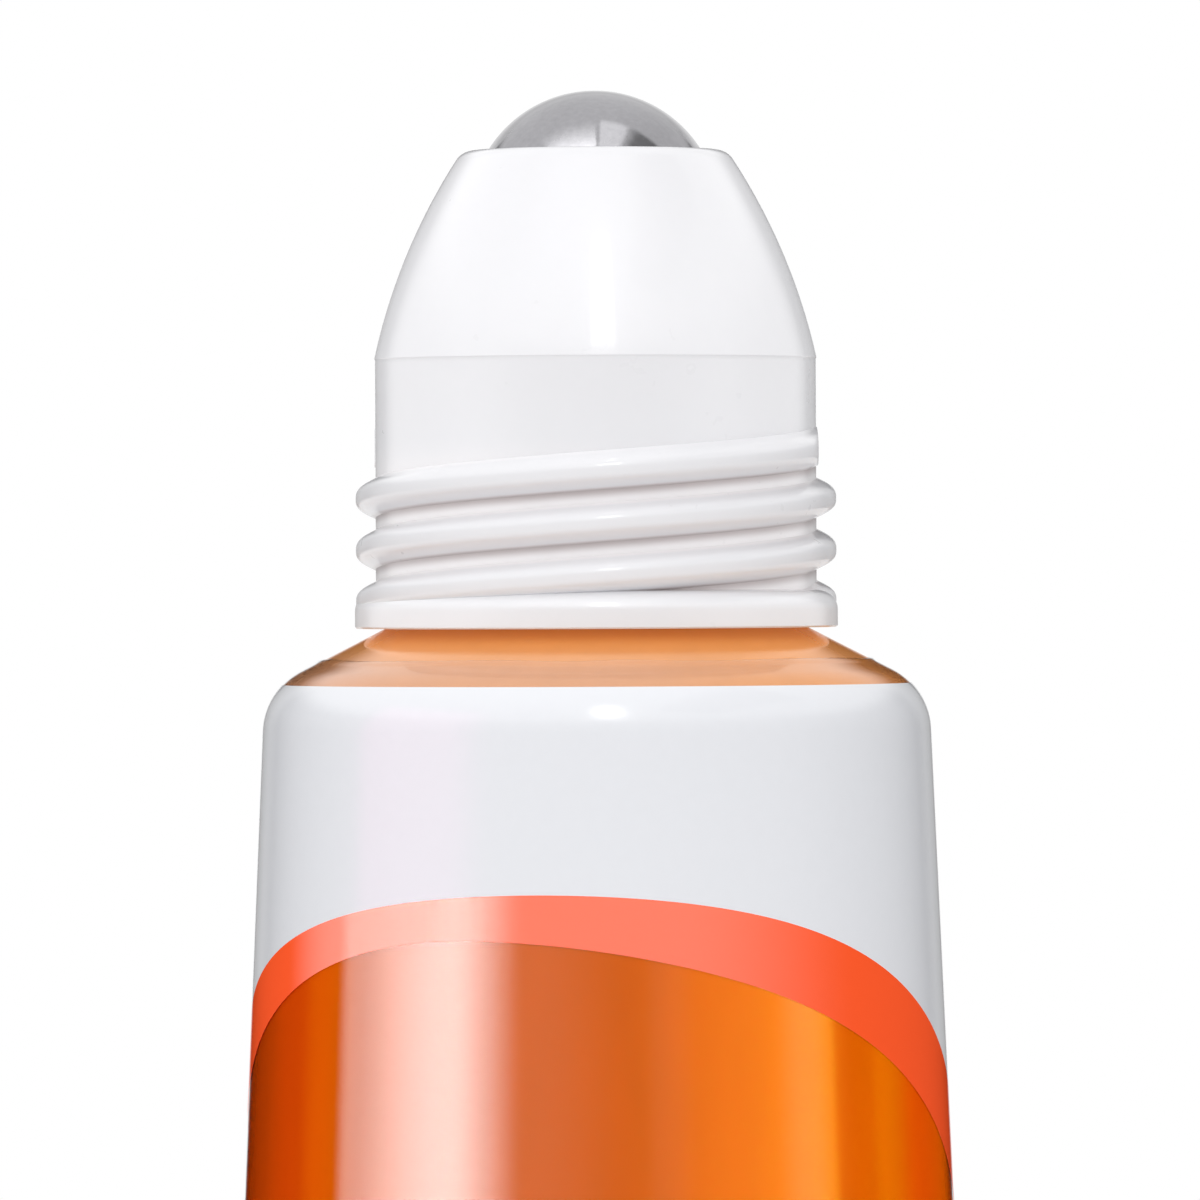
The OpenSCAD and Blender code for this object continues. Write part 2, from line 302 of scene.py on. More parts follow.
def head_outline(head, ball):
    """Closed outline of the head, from its seat up over the nose and back down its socket."""
    rim = HEAD_HIGH.z
    socket = ball.radius + head.ball_gap
    mouth = math.sqrt(socket ** 2 - (rim - ball.centre) ** 2)
    bore = head.land_radius - head.skirt
    low = (head.land_radius + head.parting, SEAT + head.land_top)
    high = (mouth + head.lip, rim)
    half = math.dist(low, high) / 2
    across = ((low[1] - high[1]) / (2 * half), (high[0] - low[0]) / (2 * half))
    middle = ((low[0] + high[0]) / 2, (low[1] + high[1]) / 2)
    centre = moved(middle, across, math.sqrt(head.nose_round ** 2 - half ** 2))
    round_z = rim - head.rim_round
    round_x = centre[0] + math.sqrt((head.nose_round - head.rim_round) ** 2
                                    - (round_z - centre[1]) ** 2)
    low_turn = math.atan2(low[1] - centre[1], low[0] - centre[0])
    high_turn = math.atan2(round_z - centre[1], round_x - centre[0])
    flange_out = head.flange_radius - head.land_radius
    flange_up = head.flange_height - head.flange_rim
    outline = [(head.flange_radius - BREAK, SEAT), (head.flange_radius, SEAT + BREAK)]
    outline += [(head.land_radius + flange_out * math.cos(math.pi * i / 32),
                 SEAT + head.flange_rim + flange_up * math.sin(math.pi * i / 32))
                for i in range(17)]
    outline += [(head.land_radius, low[1] - BREAK), moved(low, PARTING_CHAMFER, -1)]
    outline += arc(centre, head.nose_round, low_turn, high_turn, 40)
    outline += arc((round_x, round_z), head.rim_round, high_turn, math.pi / 2, 10)
    outline += arc((0.0, ball.centre), socket, math.asin((rim - ball.centre) / socket), 0, 16)
    step = SEAT + head.step
    tube = socket + (bore - socket) * TUBE_SHARE
    tip = tube + (bore - tube) * TIP_SHARE
    bead = step - INSERT_FLANGE - SNAP_DROP
    outline += [(socket, step), (tube, step), (tube, step + head.coring),
                (tip, step + head.coring), (bore, step + EASE),
                (bore, bead + 3 * EASE + BREAK), (bore + SNAP_OUT, bead + 2 * EASE + BREAK),
                (bore + SNAP_OUT, bead + EASE - BREAK), (bore, bead - BREAK),
                (bore, SEAT + EASE), (bore + EASE, SEAT)]
    return held(outline)


# Meshes

def stand(radius, turn, height):
    """The point at an angle from the front, positive to the right."""
    return radius * math.sin(turn), -radius * math.cos(turn), height


def object_from(bm, name, material):
    mesh = bpy.data.meshes.new(name)
    bm.to_mesh(mesh)
    bm.free()
    mesh.materials.append(material)
    piece = bpy.data.objects.new(name, mesh)
    bpy.context.scene.collection.objects.link(piece)
    return piece


def solid_from(bm, name, material):
    """Makes an object of a closed bmesh, with its faces outwards and its arrises crisp."""
    bmesh.ops.recalc_face_normals(bm, faces=bm.faces)
    for face in bm.faces:
        face.smooth = True
    piece = object_from(bm, name, material)
    piece.data.set_sharp_from_angle(angle=SMOOTH_LIMIT)
    return piece


def lathe(name, outline, material, steps=AXIS_STEPS):
    """Turns a closed outline round the axis. Its ends may lie on the axis."""
    bm = bmesh.new()
    rings = []
    for radius, height in outline:
        if radius < 1e-9:
            rings.append([bm.verts.new((0.0, 0.0, height))])
        else:
            rings.append([bm.verts.new(stand(radius, math.tau * i / steps, height))
                          for i in range(steps)])
    for ring, following in zip(rings, rings[1:] + rings[:1]):
        if len(ring) == 1 and len(following) == 1:
            continue
        for i in range(steps):
            j = (i + 1) % steps
            corners = [ring[i % len(ring)], ring[j % len(ring)],
                       following[j % len(following)], following[i % len(following)]]
            bm.faces.new(list(dict.fromkeys(corners)))
    return solid_from(bm, name, material)


# Node trees

def add_node(tree, kind, links=(), **settings):
    """New node with settings by attribute, and inputs by (name, value, socket or field)."""
    node = tree.nodes.new(kind)
    for key, value in settings.items():
        setattr(node, key, value)
    for label, value in links:
        if isinstance(value, Field):
            value = value.socket
        if isinstance(value, bpy.types.NodeSocket):
            tree.links.new(value, node.inputs[label])
        else:
            node.inputs[label].default_value = value
    return node


def math_method(name):
    """Method that puts a field and its other operands through a math node."""
    def method(self, *others):
        return self.math(name, *others)
    return method


class Field:
    """A value in a node tree, so that a rule is written as a sum."""

    def __init__(self, tree, socket):
        self.tree = tree
        self.socket = socket

    def _node(self, kind, values, **settings):
        node = add_node(self.tree, kind, enumerate(values), **settings)
        return Field(self.tree, node.outputs[0])

    def math(self, operation, *others):
        return self._node("ShaderNodeMath", (self, *others), operation=operation)

    def __rsub__(self, other):
        return self.math("MULTIPLY_ADD", -1.0, other)

    def __neg__(self):
        return self * -1.0

    __add__ = __radd__ = math_method("ADD")
    __sub__ = math_method("SUBTRACT")
    __mul__ = __rmul__ = math_method("MULTIPLY")
    __truediv__ = math_method("DIVIDE")
    __abs__ = math_method("ABSOLUTE")
    sin = math_method("SINE")
    cos = math_method("COSINE")
    above = math_method("GREATER_THAN")
    at_least = math_method("MAXIMUM")
    at_most = math_method("MINIMUM")

    def ramp(self, low, high):
        """Smooth step from 0 at low to 1 at high, which may be the lower number."""
        return self._node("ShaderNodeMapRange", (self, low, high, 0.0, 1.0),
                          interpolation_type="SMOOTHSTEP")

    def between(self, low, high, soft):
        return self.ramp(low - soft, low + soft) * self.ramp(high + soft, high - soft)


class ShapeTree:
    """A Geometry Nodes tree with named sizes, which lays a grid of points by a rule."""

    def __init__(self, name, sizes):
        self.tree = bpy.data.node_groups.new(name, "GeometryNodeTree")
        self.tree.is_modifier = True
        face = self.tree.interface
        face.new_socket("Geometry", in_out="OUTPUT", socket_type="NodeSocketGeometry")
        self.names = {}
        for label, value in sizes.items():
            kind = "NodeSocketInt" if isinstance(value, int) else "NodeSocketFloat"
            socket = face.new_socket(label, in_out="INPUT", socket_type=kind)
            socket.default_value = value
            self.names[label] = socket.identifier
        socket = face.new_socket("Material", in_out="INPUT", socket_type="NodeSocketMaterial")
        self.names["Material"] = socket.identifier
        self.given = add_node(self.tree, "NodeGroupInput")

    def node(self, kind, **inputs):
        return add_node(self.tree, kind, [(label.replace("_", " "), value)
                                          for label, value in inputs.items()])

    def size(self, label):
        return Field(self.tree, self.given.outputs[label])

    def grid(self, across, along):
        """Grid of points, with its two shares from 0 to 1 as fields."""
        grid = self.node("GeometryNodeMeshGrid", Size_X=1.0, Size_Y=1.0, Vertices_X=across,
                         Vertices_Y=along)
        place = self.node("GeometryNodeInputPosition")
        parts = self.node("ShaderNodeSeparateXYZ", Vector=place.outputs[0])
        first, second = (Field(self.tree, parts.outputs[i]) + 0.5 for i in range(2))
        return grid.outputs["Mesh"], first, second

    def laid(self, mesh, radius, turn, height):
        """Moves the grid's points to a radius, an angle from the front and a height."""
        place = self.node("ShaderNodeCombineXYZ", X=radius * turn.sin(),
                          Y=-(radius * turn.cos()), Z=height)
        spread = self.node("GeometryNodeSetPosition", Geometry=mesh, Position=place.outputs[0])
        merged = self.node("GeometryNodeMergeByDistance", Geometry=spread.outputs[0],
                           Distance=1e-6)
        return merged.outputs[0]

    def close(self, geometry):
        realized = self.node("GeometryNodeRealizeInstances", Geometry=geometry)
        painted = self.node("GeometryNodeSetMaterial", Geometry=realized.outputs[0],
                            Material=self.given.outputs["Material"])
        add_node(self.tree, "NodeGroupOutput", ((0, painted.outputs[0]),))

    def piece(self, name, sizes, material):
        """Runs the tree with these sizes and returns the result as a plain mesh."""
        carrier = bpy.data.objects.new(name + "_tree", bpy.data.meshes.new(name + "_tree"))
        bpy.context.scene.collection.objects.link(carrier)
        modifier = carrier.modifiers.new("Shape", "NODES")
        modifier.node_group = self.tree
        for label, value in sizes.items():
            modifier[self.names[label]] = value
        modifier[self.names["Material"]] = material
        seen = carrier.evaluated_get(bpy.context.evaluated_depsgraph_get())
        mesh = bpy.data.meshes.new_from_object(seen)
        carrier.modifiers.remove(modifier)
        bpy.data.objects.remove(carrier)
        bm = bmesh.new()
        bm.from_mesh(mesh)
        bpy.data.meshes.remove(mesh)
        return solid_from(bm, name, material)


def thread_tree(sizes):
    """Ridge of S-shaped section wound down the land, repeated for each start.

    Round its section, the rows lead in, pass over the ridge's face and go back in the land.
    """
    steps, rows, lead_in, face, back = 276, 48, 2.0, 36.0, 8.0
    shape = ShapeTree("Closure thread", sizes)
    size = shape.size
    mesh, along, round_it = shape.grid(steps + 1, rows + 1)
    row = round_it * float(rows)
    wound = along * size("Run")
    left = size("Run") - wound
    cut = (size("Land Radius") + size("Cut")) / wound.at_most(1.2).cos() - size("Land Radius")
    sink = (left / size("Fade Out")).ramp(0.0, 1.0)
    ends = (along * float(steps)).at_most(1.0) * ((1.0 - along) * float(steps)).at_most(1.0)
    outer = (row - lead_in).at_most(face).at_least(0.0) / face
    swing = 0.5 - outer + (row - (rows - back)).at_least(0.0) / back
    foot = (size("Foot Under")
            + (size("Foot Over") - size("Foot Under")) * swing.above(0.0))
    across = swing * 2.0 * foot
    away = abs(swing * 2.0)
    section = (1.0 - away * away * away).at_least(0.0).math("POWER", 1.4)
    lift = (section * size("Reach") * sink).at_most(cut) - RIDGE_SINK
    under = row.above(0.5) * (rows - back - 0.5 - row).above(0.0)
    out = lift * under - size("Root") * (1.0 - under)
    radius = size("Land Radius") + (out + size("Root")) * ends - size("Root")
    height = size("Start Height") - wound * size("Lead") / math.tau + across * ends
    ridge = shape.laid(mesh, radius, size("Start") - wound, height)
    points = shape.node("GeometryNodePoints", Count=size("Starts"))
    index = Field(shape.tree, shape.node("GeometryNodeInputIndex").outputs[0])
    turned = shape.node("ShaderNodeCombineXYZ", Z=index * math.tau / size("Starts"))
    ridges = shape.node("GeometryNodeInstanceOnPoints", Points=points.outputs[0],
                        Instance=ridge, Rotation=turned.outputs[0])
    shape.close(ridges.outputs[0])
    return shape


def skin_tree(name, sizes, upper, lower, turn_share, rows):
    """Closed skin round the bottle between two lines, which are distances down its side."""
    shape = ShapeTree(name, sizes)
    size = shape.size
    mesh, around, section = shape.grid(AXIS_STEPS + 1, 2 * rows + 1)
    corner = size("Corner Turn") * size("Corner Round")
    turn = (around - 0.5) * math.tau
    row = (section * (2.0 * rows)).math("ROUND").math("MODULO", 2.0 * rows)
    inner = row.above(rows - 0.5)
    down = (row + inner * (2.0 * rows - 1.0 - row * 2.0)) / (rows - 1.0)
    high = upper(size, turn)
    low = lower(size, turn)
    knee = high.at_least(0.0)
    if turn_share:
        first = (down / turn_share).at_most(1.0)
        second = ((down - turn_share) / (1.0 - turn_share)).at_least(0.0)
        path = high + (knee - high) * first + (low - knee) * second
    else:
        path = high + (low - high) * down
    rim = (1.0 - abs(down * (rows - 1.0) - 1.0)).at_least(0.0) * (1.0 - inner)
    out = size("Corner Round") + size("Out") - inner * size("Thickness") + rim * size("Bead")
    bend = (-path).at_least(0.0).at_most(corner)
    below = path.at_least(0.0)
    beyond = (-path - corner).at_least(0.0)
    tilt = size("Side Lean") + bend / size("Corner Round")
    slope = math.pi / 2 - size("Side Lean") - size("Corner Turn")
    radius = (size("Corner Radius") + out * tilt.cos() + below * size("Side Lean").sin()
              - beyond * slope.cos())
    height = (size("Corner Height") + out * tilt.sin() - below * size("Side Lean").cos()
              + beyond * slope.sin())
    shape.close(shape.laid(mesh, radius, turn, height))
    return shape


def edge_drop(height):
    """Distance down the side of a line at a given height."""
    def line(size, turn):
        lift = size("Corner Height") + size("Corner Round") * size("Side Lean").sin()
        return (lift - height(size, turn)) / size("Side Lean").cos()
    return line


def white_edge(size, turn):
    away = turn - size("White Turn")
    return (size("White Edge") + size("White Swing") * away.cos()
            - size("White Pinch") * (away * 2.0).cos())


def coral_edge(size, turn):
    width = (size("Band Width") - size("Band Swing") * (turn - size("Band Turn")).cos()
             + size("Band Wave") * ((turn - size("Wave Turn")) * 2.0).cos())
    return white_edge(size, turn) - width


def film_top(size, turn):
    wave = (turn * 9.0 + (turn * 4.0).sin() * 1.3).sin() * size("Film Wave")
    return -(size("Corner Turn") * size("Corner Round") + size("Film Run") + wave)


def film_foot(size, turn):
    return size("Film Drop")


def print_top(size, turn):
    return -(size("Corner Turn") * size("Corner Round") * size("Print Top"))


# Materials

GREY = (0.8, 0.8, 0.8, 1.0)


def opaque(colour):
    return (*colour, 1.0)


def new_material(name):
    material = bpy.data.materials.new(name)
    material.use_nodes = True
    return material, material.node_tree


def coordinates(tree, kind="Object"):
    """The three coordinates of a place on the surface, as fields."""
    place = add_node(tree, "ShaderNodeTexCoord")
    parts = add_node(tree, "ShaderNodeSeparateXYZ", ((0, place.outputs[kind]),))
    return [Field(tree, parts.outputs[i]) for i in range(3)]


def blend(tree, amount, first, second):
    """Colour that goes from the first to the second as the amount goes from 0 to 1."""
    mix = add_node(tree, "ShaderNodeMix", (("Factor", amount), (6, first), (7, second)),
                   data_type="RGBA")
    return mix.outputs[2]


def scaled(tree, colour, amount):
    product = add_node(tree, "ShaderNodeVectorMath", ((0, colour), ("Scale", amount)),
                       operation="SCALE")
    return product.outputs[0]


def ray_is(tree, *kinds):
    """1 for rays of these kinds and 0 for others."""
    light = add_node(tree, "ShaderNodeLightPath")
    first, *others = (Field(tree, light.outputs[f"Is {kind} Ray"]) for kind in kinds)
    for other in others:
        first = first.at_least(other)
    return first


def shader_group(name, inputs, outputs):
    """Empty shader node group with named sockets, and its inputs as fields."""
    tree = bpy.data.node_groups.new(name, "ShaderNodeTree")
    kinds = {float: "NodeSocketFloat", tuple: "NodeSocketColor"}
    for label, value in inputs.items():
        socket = tree.interface.new_socket(label, in_out="INPUT",
                                           socket_type=kinds[type(value)])
        socket.default_value = value
    for label, kind in outputs.items():
        tree.interface.new_socket(label, in_out="OUTPUT", socket_type=kinds[kind])
    given = add_node(tree, "NodeGroupInput")
    return tree, {label: Field(tree, given.outputs[label]) for label in inputs}


def placed_group(tree, name, maker, values):
    """Places a shared node group, which its maker builds on first use."""
    group = bpy.data.node_groups.get(name) or maker()
    return add_node(tree, "ShaderNodeGroup", values.items(), node_tree=group)


def surface_group():
    """Tone, roughness and height of a made surface, from two sizes of noise."""
    tree, given = shader_group(
        "Made surface",
        {"Colour": GREY, "Roughness": 0.3, "Grain": 900.0, "Cloud": 70.0,
         "Tone Spread": 0.04, "Rough Spread": 0.06, "Stretch": 1.0},
        {"Colour": tuple, "Roughness": float, "Height": float})
    place = add_node(tree, "ShaderNodeTexCoord")
    scale = add_node(tree, "ShaderNodeCombineXYZ", (("X", 1.0), ("Y", 1.0),
                                                    ("Z", given["Stretch"])))
    stretched = add_node(tree, "ShaderNodeVectorMath", ((0, place.outputs["Object"]),
                                                        (1, scale.outputs[0])),
                         operation="MULTIPLY")
    noises = [add_node(tree, "ShaderNodeTexNoise", (("Vector", stretched.outputs[0]),
                                                    ("Scale", given[label]),
                                                    ("Detail", detail)))
              for label, detail in (("Cloud", 3.0), ("Grain", 2.0))]
    cloudy, grainy = (Field(tree, noise.outputs["Fac"]) - 0.5 for noise in noises)
    mottle = cloudy + grainy
    tone = 1.0 + mottle * given["Tone Spread"]
    add_node(tree, "NodeGroupOutput", (
        ("Colour", scaled(tree, given["Colour"], tone)),
        ("Roughness", given["Roughness"] + mottle * given["Rough Spread"]),
        ("Height", 0.5 + cloudy * 0.6 + grainy * 0.4)))
    return tree


def groove_painted_light_shade_group():
    """Painted light and shade in the closure thread's grooves: a paler floor, and a painted
    shade line under each ridge.
    """
    tree, given = shader_group(
        "Groove tint",
        {"Colour": GREY, "Groove Colour": GREY, "Line Colour": GREY, "Root": 0.007,
         "Crest": 0.0076, "Low": 0.062, "High": 0.068, "Lead": 0.003, "Starts": 2.0,
         "Start": 1.5, "Start Height": 0.067},
        {"Colour": tuple})
    x, y, z = coordinates(tree)
    radius = (x * x + y * y).math("SQRT")
    inside = (radius.ramp(given["Crest"], given["Root"])
              * z.ramp(given["Low"] - 0.2 * MM, given["Low"]))
    # Painted light: the groove floor on the land gets the paler groove colour
    depth = inside * z.ramp(given["High"], given["High"] - 2 * MM)
    turns = (given["Start"] - x.math("ARCTAN2", -y)) / math.tau * given["Starts"]
    below = (given["Start Height"] - z) / given["Lead"] * given["Starts"] - turns
    first = (below + turns.math("FLOOR")).ramp(0.0, 0.05)
    below = (below + 8.0).math("FRACT")
    # Painted shade: a dark band just under each ridge, only where a ridge lies above it
    line = inside * below.ramp(0.56, 0.36) * below.ramp(0.2, 0.34) * first
    grooved = blend(tree, depth, given["Colour"], given["Groove Colour"])
    lined = blend(tree, line, grooved, given["Line Colour"])
    add_node(tree, "NodeGroupOutput", (("Colour", lined),))
    return tree


def painted_shoulder_light_group():
    """Painted light on the shoulder: tones paler than the wall's own orange, and a painted glow
    for light let through it there.
    """
    tree, given = shader_group(
        "Shoulder", {"Colour": GREY, "Pale": GREY, "Throat": GREY, "Light": GREY,
                     "Low": 0.06, "High": 0.062},
        {"Colour": tuple, "Light": tuple})
    x, _, height = coordinates(tree)
    low = given["Low"]
    over = height.ramp(low - 1.2 * MM, low - 0.8 * MM)
    # Painted light and shade: the tone turns from Pale to the deeper Throat towards the flange,
    # and on the right side
    up = height.ramp(low + 0.3 * MM, given["High"] - 0.2 * MM)
    up = up + (1.0 - up) * (x.ramp(0.0, 8 * MM) * 0.75)
    tones = blend(tree, up, given["Pale"], given["Throat"])
    # The glow is painted light, stronger towards the flange and to the right
    add_node(tree, "NodeGroupOutput", (
        ("Colour", blend(tree, over, given["Colour"], tones)),
        ("Light", scaled(tree, given["Light"], over * (0.3 + up * 0.7)))))
    return tree


def made_material(name, colour, surface, bump, **constants):
    """Principled material whose tone, roughness and bump come from the shared surface."""
    material, tree = new_material(name)
    shader = tree.nodes["Principled BSDF"]
    for label, value in constants.items():
        shader.inputs[label.replace("_", " ")].default_value = value
    skin = placed_group(tree, "Made surface", surface_group,
                        {"Colour": opaque(colour), **surface})
    relief = add_node(tree, "ShaderNodeBump", (("Height", skin.outputs["Height"]),
                                               ("Distance", bump), ("Strength", 1.0)))
    for label, output in (("Base Color", skin.outputs["Colour"]),
                          ("Roughness", skin.outputs["Roughness"]),
                          ("Normal", relief.outputs[0])):
        tree.links.new(output, shader.inputs[label])
    return material, tree, shader, skin


def wall_material(sizes):
    material, tree, shader, skin = made_material(
        "Orange moulded wall", sizes.colour,
        {"Roughness": 0.17, "Grain": 1400.0, "Cloud": 45.0, "Tone Spread": 0.1,
         "Rough Spread": 0.05, "Stretch": 0.25},
        0.004 * MM, Metallic=0.42, Coat_Weight=0.28, Coat_Roughness=0.04,
        Specular_IOR_Level=0.1, Emission_Strength=1.0)
    # Painted light: the shoulder is painted in paler tones and glows by emission
    shoulder = placed_group(tree, "Shoulder", painted_shoulder_light_group, {
        "Colour": opaque(sizes.colour), "Pale": opaque(sizes.painted_pale_light),
        "Throat": opaque(sizes.throat), "Light": opaque(sizes.glow),
        "Low": sizes.body_height, "High": SEAT})
    tree.links.new(shoulder.outputs["Colour"], skin.inputs["Colour"])
    tree.links.new(shoulder.outputs["Light"], shader.inputs["Emission Color"])
    return material


def head_material(sizes, thread):
    material, tree, _, skin = made_material(
        "White moulded head", sizes.colour,
        {"Roughness": 0.3, "Grain": 1800.0, "Cloud": 160.0, "Tone Spread": 0.015,
         "Rough Spread": 0.08},
        0.003 * MM, Specular_IOR_Level=0.25, Coat_Weight=0.6, Coat_Roughness=0.05)
    start_height = SEAT + thread.start_height
    # Painted light and shade: a paler groove floor and a dark line under each ridge of the
    # thread
    groove = placed_group(tree, "Groove tint", groove_painted_light_shade_group, {
        "Colour": opaque(sizes.colour), "Groove Colour": opaque(sizes.groove_painted_light),
        "Line Colour": opaque(sizes.ridge_painted_shade), "Root": sizes.land_radius,
        "Crest": sizes.land_radius + 0.35 * thread.reach, "Low": SEAT + sizes.flange_rim,
        "High": start_height + 0.4 * MM, "Lead": thread.lead, "Starts": thread.starts,
        "Start": thread.start, "Start Height": start_height})
    tree.links.new(groove.outputs["Colour"], skin.inputs["Colour"])
    return material


def steel_material(sizes):
    return made_material(
        "Satin steel", sizes.steel,
        {"Roughness": 0.08, "Grain": 5200.0, "Cloud": 420.0, "Tone Spread": 0.2,
         "Rough Spread": 0.1},
        0.003 * MM, Metallic=1.0)[0]


def insert_material(sizes):
    return made_material(
        "Natural insert", sizes.insert,
        {"Roughness": 0.5, "Grain": 2400.0, "Cloud": 220.0, "Tone Spread": 0.06,
         "Rough Spread": 0.12},
        0.006 * MM)[0]


def print_material(name, colour, **gloss):
    return made_material(
        name, colour,
        {"Roughness": 0.3, "Grain": 2600.0, "Cloud": 90.0, "Tone Spread": 0.02,
         "Rough Spread": 0.05},
        0.002 * MM, Coat_Roughness=0.06, **gloss)[0]


def film_material():
    """Clear film: all that it reflects is gloss, and its alpha is the share it reflects."""
    material, tree, shader, _ = made_material(
        "Clear shrink film", (0.97, 0.97, 0.98),
        {"Roughness": 0.05, "Grain": 900.0, "Cloud": 60.0, "Tone Spread": 0.0,
         "Rough Spread": 0.03},
        0.003 * MM, Metallic=1.0)
    gloss = add_node(tree, "ShaderNodeFresnel", (("IOR", 1.4),))
    side = add_node(tree, "ShaderNodeNewGeometry")
    outside = 1.0 - Field(tree, side.outputs["Backfacing"])
    tree.links.new((outside * Field(tree, gloss.outputs[0])).socket, shader.inputs["Alpha"])
    return material


# Stage

LENS_MM = 360.0
SENSOR_MM = 36.0
CARD_STEPS = (16, 8)
CARD_REACH = 0.8
CARD_CENTRE = 60 * MM
CARD_HIDDEN_FROM = ("camera", "diffuse", "transmission", "volume_scatter", "shadow")
SIDE = (-50.0, 40.0)
LOW_SIDE = (-50.0, 11.0)
EMBER = (-50.0, 8.0)
SHELL = ("head_shell",)
THREAD = ("closure_thread",)
PRINTED = ("white_field",)

# For each set of receivers: name, azimuths, elevations, radiance, fades and other settings
CARDS = (
    (("clear_sleeve", "coral_field"), (
        ("left softbox", (-96.5, -23.5), SIDE, 22.0, (0.1, 0.37),
         {"swell": (0.25, 0.04, 0.66)}),)),
    (("clear_sleeve",), (
        ("front card", (-40.0, 12.0), SIDE, 1.0, (0.1, 0.65), {}),
        ("low card", (14.0, 34.0), SIDE, 0.35, (0.3, 0.5), {}),
        ("right strip", (58.0, 86.0), SIDE, 1.1, (0.45, 0.45), {}))),
    (("coral_field",), (
        ("coral left card", (-126.0, -55.0), SIDE, 6.0, (0.5, 0.45), {}),
        ("coral card", (-60.0, 95.0), SIDE, 4.7, (0.17, 0.45), {}))),
    (("bottle_body",), (
        ("lime card", (-106.0, 40.0), LOW_SIDE, 0.75, (0.2, 0.2),
         {"colour": (0.0, 1.0, 0.0)}),
        ("dawn card", (-116.0, -84.0), LOW_SIDE, 0.6, (0.3, 0.3),
         {"colour": (0.5, 1.0, 0.0)}),
        ("gold card", (8.0, 86.0), LOW_SIDE, 4.2, (0.46, 0.04),
         {"swell": (0.5, 0.45, 0.945), "colour": (0.34, 0.98, 0.0)}),
        ("amber card", (84.0, 132.0), LOW_SIDE, 1.1, (0.05, 0.6),
         {"colour": (0.6, 0.95, 0.0)}),
        ("second amber card", (101.0, 124.0), LOW_SIDE, 0.6, (0.15, 0.6),
         {"colour": (0.5, 1.0, 0.0)}),
        ("right ember", (110.0, 168.0), EMBER, 0.8, (0.3, 0.3), {"colour": (1.0, 0.35, 0.0)}),
        ("left ember", (-140.0, -92.0), EMBER, 0.3, (0.3, 0.2),
         {"colour": (1.0, 0.15, 0.0)}))),
    (PRINTED, (
        ("blush card", (-92.0, -36.0), SIDE, 1.0, (0.15, 0.3), {"colour": (1.0, 0.2, 0.6)}),)),
    (SHELL + THREAD + PRINTED, (
        ("left edge card", (-169.0, -142.0), SIDE, 0.35, (0.1, 0.45), {}),
        ("right edge card", (142.0, 169.0), SIDE, 0.35, (0.45, 0.1), {}))),
    (SHELL, (
        ("nose card", (-75.0, 75.0), (24.0, 88.0), 1.1, (0.35, 0.35), {"rise": (0.08, 0.7)}),
        ("left nose card", (-152.0, -20.0), (-45.0, 70.0), 1.15, (0.2, 0.45),
         {"rise": (0.05, 0.5)}),
        ("right nose card", (20.0, 152.0), (-45.0, 70.0), 1.3, (0.45, 0.2),
         {"rise": (0.05, 0.5)}))),
    (SHELL + THREAD, (
        ("strip lamp", (-3.0, 12.0), (26.5, 52.0), 6.0, (0.12, 0.12), {"rise": (0.12, 0.25)}),
    )),
    (PRINTED, (
        ("corner lamp", (-5.0, 14.0), (22.0, 56.0), 7.0, (0.45, 0.45),
         {"rise": (0.45, 0.5)}),)),
    (THREAD, (("top lamp", (-6.0, 10.0), (75.0, 115.0), 8.0, (0.3, 0.3), {}),)),
    (("steel_ball",), (
        ("ball softbox", (-0.76, 0.03), (-1.16, 0.18), 2.8, (0.16, 0.03),
         {"rise": (0.09, 0.95), "flat": True}),
        ("ball strip", (0.05, 0.42), (-1.16, 0.18), 0.48, (0.08, 0.22),
         {"rise": (0.09, 0.09), "flat": True}),
        ("ball card", (146.0, 214.0), (3.4, 30.0), 0.9, (0.06, 0.06),
         {"rise": (0.17, 0.47)}))),
)


def studio_world():
    """White backdrop, soft light, and the bright top and dark sides that the gloss shows."""
    world = bpy.data.worlds.new("Studio")
    world.use_nodes = True
    world.cycles.sampling_method = "NONE"
    bpy.context.scene.world = world
    tree = world.node_tree
    x, y, z = coordinates(tree, "Generated")
    aside = abs(x.math("ARCTAN2", -y) * (180.0 / math.pi))
    soft = (0.8 + (x * -0.13 - y * 0.36) + z * 0.52).at_least(0.12)
    level = 0.3 * aside.ramp(96.0, 62.0) + aside.ramp(167.0, 175.0) * z.ramp(0.14, 0.06) * 0.92
    lean_x, lean_y = (part / z.at_least(0.05) for part in (x, y))
    box = lean_y.between(-1.1, 0.12, 0.06)
    overhead = (0.88 - lean_x.ramp(0.1, 0.9) * 0.1
                - box * lean_x.between(0.46, 1.1, 0.1) * 0.5)
    gloss = level + (overhead - level) * z.ramp(0.3, 0.5)
    glossy = ray_is(tree, "Glossy")
    direct = ray_is(tree, "Camera", "Transmission")
    seen = direct + (1.0 - direct) * (glossy * gloss + (1.0 - glossy) * soft)
    tree.links.new(seen.socket, tree.nodes["Background"].inputs["Color"])


def card_mesh(azimuths, elevations, flat):
    """Patch of a large sphere, or of a flat ceiling in shares of its height."""
    bm = bmesh.new()
    layer = bm.loops.layers.uv.new("UVMap")
    columns, rows = CARD_STEPS
    points = {}
    for i in range(columns + 1):
        for j in range(rows + 1):
            a = azimuths[0] + (azimuths[1] - azimuths[0]) * i / columns
            e = elevations[0] + (elevations[1] - elevations[0]) * j / rows
            if flat:
                centre = (BALL_HIGH.z + BALL_LOW.z) / 2
                spot = (a * CARD_REACH, e * CARD_REACH, centre + CARD_REACH)
            else:
                a, e = math.radians(a), math.radians(e)
                spot = stand(CARD_REACH * math.cos(e), a,
                             CARD_CENTRE + CARD_REACH * math.sin(e))
            points[i, j] = bm.verts.new(spot)
    for i in range(columns):
        for j in range(rows):
            keys = ((i, j), (i, j + 1), (i + 1, j + 1), (i + 1, j))
            face = bm.faces.new([points[key] for key in keys])
            for loop, key in zip(face.loops, keys):
                loop[layer].uv = (key[0] / columns, key[1] / rows)
    return bm


